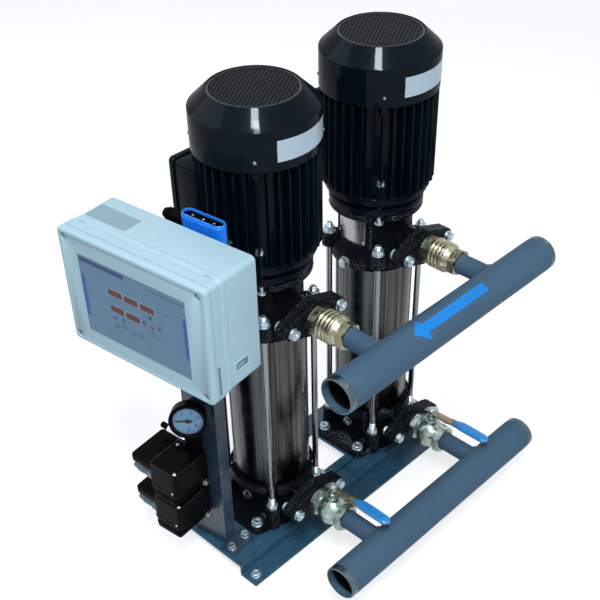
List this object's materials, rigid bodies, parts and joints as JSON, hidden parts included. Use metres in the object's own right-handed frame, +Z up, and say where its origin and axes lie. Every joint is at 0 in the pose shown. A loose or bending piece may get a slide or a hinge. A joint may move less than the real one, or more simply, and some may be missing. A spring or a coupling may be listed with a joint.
{
  "type": "booster pump set",
  "caption": "Water booster set with two upright multistage pumps on a folded steel base, common pipes, valves, pressure switches, a gauge and a control box on a post.",
  "frame": {"origin": "on the floor, at the centre of the four anchor holes of the base", "axes": "+Z up, +X from the pumps to the pipe manifolds, +Y from the control post to the rear pump"},
  "size_m": [0.4492, 0.6587, 0.832],
  "materials": {
    "cast_black": "satin black coated casting",
    "motor_black": "gloss black paint",
    "stainless": "polished stainless sheet",
    "zinc": "bright zinc plate",
    "inner_steel": "machined steel",
    "winding": "laminations and varnished winding",
    "black_plastic": "moulded black plastic",
    "nickel": "nickel plated brass",
    "brass": "pale bare brass",
    "lever_blue": "blue dipped sleeve",
    "base_paint": "blue grey powder coat",
    "pipe_paint": "grey blue paint with bare ends",
    "panel_plastic": "pale bluish white moulding",
    "panel_print": "printed front foil",
    "clear": "clear window",
    "needle": "black",
    "inlet_blue": "blue moulded inlet"
  },
  "bodies": {
    "frame": {"pump_foot_front": "cast_black", "pump_foot_rear": "cast_black", "sleeve_front": "stainless", "sleeve_rear": "stainless", "pump_head_front": "cast_black", "pump_head_rear": "cast_black", "coupling_guards_front": "stainless", "coupling_guards_rear": "stainless", "chambers_front": "inner_steel", "chambers_rear": "inner_steel", "motor_flange_front": "motor_black", "motor_flange_rear": "motor_black", "motor_frame_front": "motor_black", "motor_frame_rear": "motor_black", "stator_front": "winding", "stator_rear": "winding", "fan_cover_front": "motor_black", "fan_cover_rear": "motor_black", "terminal_box_front": "motor_black", "terminal_box_rear": "motor_black", "ball_valve_front": "nickel", "ball_valve_rear": "nickel", "check_valve_front": "brass", "check_valve_rear": "brass", "tie_rods": "zinc", "motor_bearings": "inner_steel", "shaft_seals": "inner_steel", "port_flanges": "cast_black", "port_bolts": "zinc", "deck_bolts": "zinc", "motor_bolts": "zinc", "pump_plugs": "zinc", "base_pan": "base_paint", "suction_manifold": "pipe_paint", "discharge_manifold": "pipe_paint", "post": "base_paint", "panel_body": "panel_plastic", "panel_lid": "panel_plastic", "panel_face": "panel_print", "panel_screws": "black_plastic", "pressure_switch_lower": "black_plastic", "pressure_switch_upper": "black_plastic", "pressure_bar": "brass", "pressure_sensor": "zinc", "gauge_case": "black_plastic", "gauge_glass": "clear", "supply_inlet": "inlet_blue"},
    "rotating_front": {"rotor_front": "inner_steel", "fan_front": "black_plastic", "coupling_front": "inner_steel", "impeller_shaft_front": "inner_steel"},
    "lever_front": {"valve_lever_front": "lever_blue"},
    "poppet_front": {"check_poppet_front": "brass"},
    "rotating_rear": {"rotor_rear": "inner_steel", "fan_rear": "black_plastic", "coupling_rear": "inner_steel", "impeller_shaft_rear": "inner_steel"},
    "lever_rear": {"valve_lever_rear": "lever_blue"},
    "poppet_rear": {"check_poppet_rear": "brass"},
    "needle": {"gauge_needle": "needle"}
  },
  "joints": [
    {"name": "motor_shaft_front", "type": "hinge", "parent": "frame", "child": "rotating_front", "pos_m": [0, -0.112, 0.6], "axis": [0, 0, 1], "continuous": true},
    {"name": "valve_lever_front", "type": "hinge", "parent": "frame", "child": "lever_front", "pos_m": [0.151, -0.112, 0.15], "axis": [0, 0, 1], "range_deg": [-90, 0]},
    {"name": "check_valve_front", "type": "slide", "parent": "frame", "child": "poppet_front", "axis": [1, 0, 0], "range_m": [0, 0.008], "stiffness_N_per_m": 120, "springref_m": -0.006},
    {"name": "motor_shaft_rear", "type": "hinge", "parent": "frame", "child": "rotating_rear", "pos_m": [0, 0.158, 0.6], "axis": [0, 0, 1], "continuous": true},
    {"name": "valve_lever_rear", "type": "hinge", "parent": "frame", "child": "lever_rear", "pos_m": [0.151, 0.158, 0.15], "axis": [0, 0, 1], "range_deg": [-90, 0]},
    {"name": "check_valve_rear", "type": "slide", "parent": "frame", "child": "poppet_rear", "axis": [1, 0, 0], "range_m": [0, 0.008], "stiffness_N_per_m": 120, "springref_m": -0.006},
    {"name": "gauge_needle", "type": "hinge", "parent": "frame", "child": "needle", "pos_m": [0.00768, -0.29618, 0.3339], "axis": [-0.6903, 0.7024, -0.1736], "range_deg": [0, 270], "stiffness_Nm_per_rad": 0.002}
  ]
}
